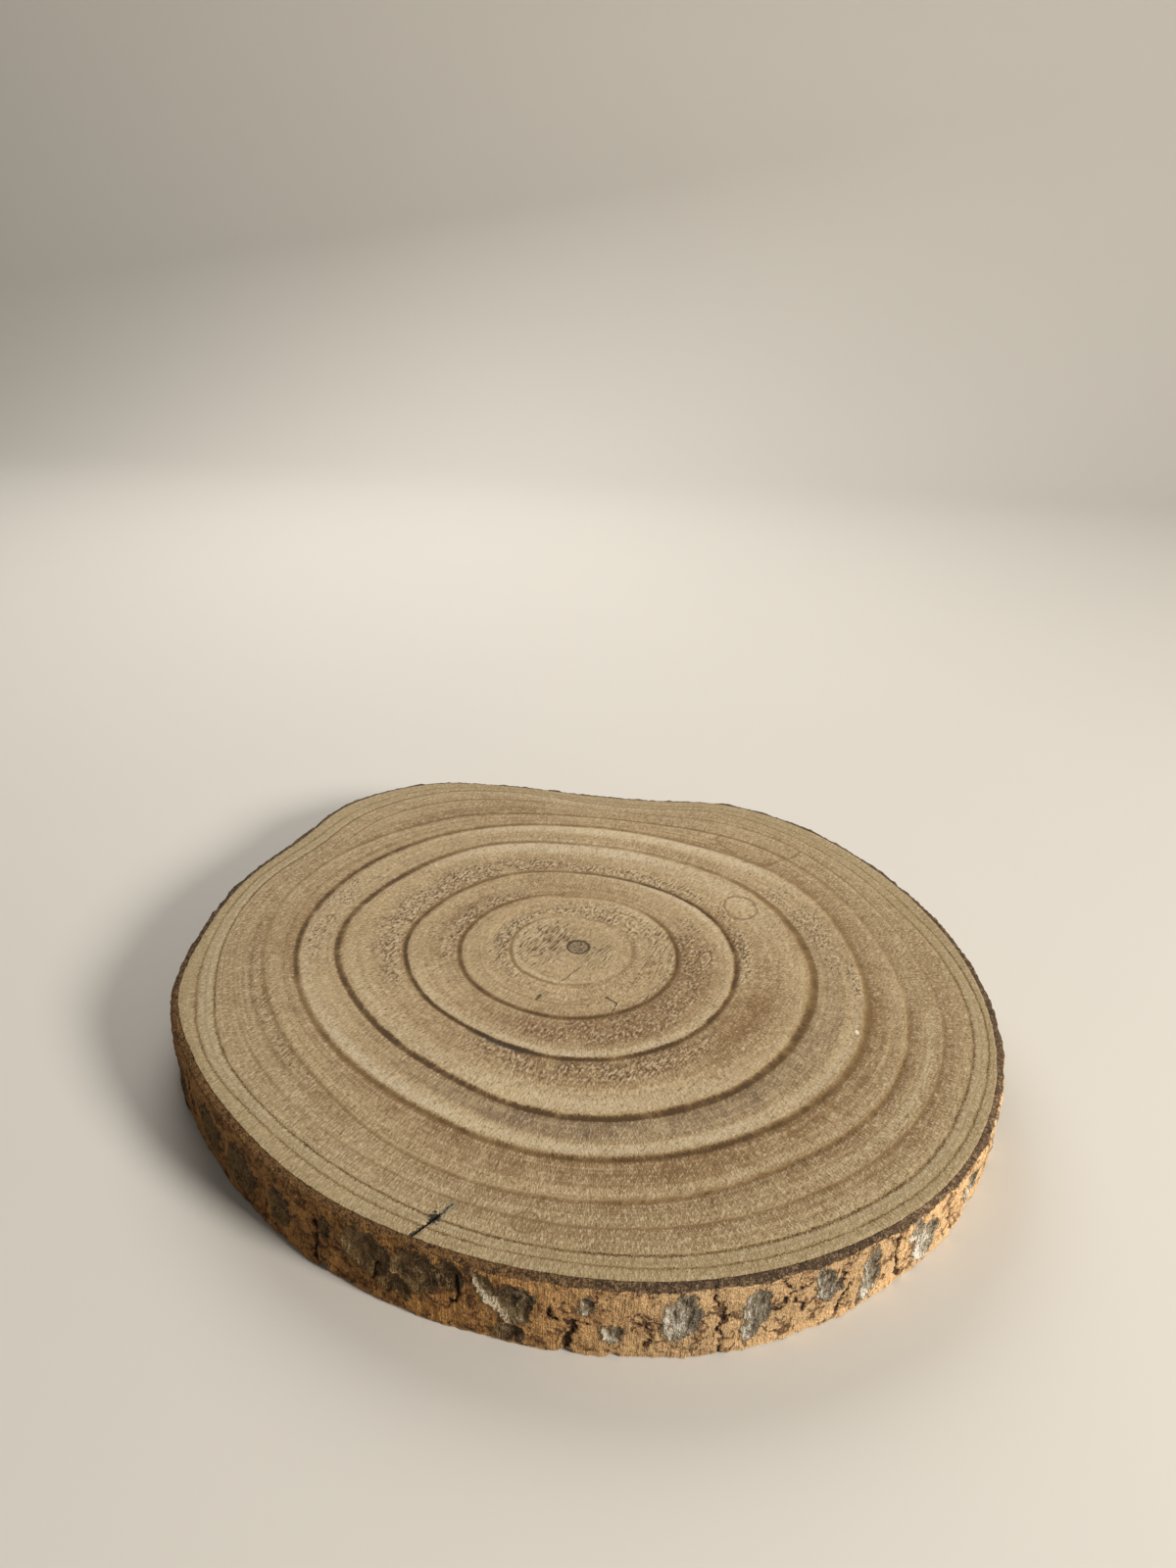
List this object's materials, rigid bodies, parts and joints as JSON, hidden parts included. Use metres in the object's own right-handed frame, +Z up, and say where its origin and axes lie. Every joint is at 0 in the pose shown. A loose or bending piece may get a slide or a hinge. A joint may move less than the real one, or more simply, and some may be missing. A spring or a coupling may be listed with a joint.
{
  "type": "wood slice",
  "caption": "Flat round slice sawn across a young trunk, with growth rings on its sawn faces and rough bark round its edge, used as a board, riser or trivet.",
  "frame": {"origin": "middle of the slice's box, on the surface it lies on", "axes": "+Z up through the thickness, out of the sawn face; +X to the right and +Y away as the picture shows the slice"},
  "size_m": [0.3162, 0.3022, 0.03],
  "materials": {
    "wood": "sawn and lightly sanded, uncoated, with bark left on the edge"
  },
  "bodies": {
    "root": {"wood_slice": "wood"}
  },
  "joints": []
}
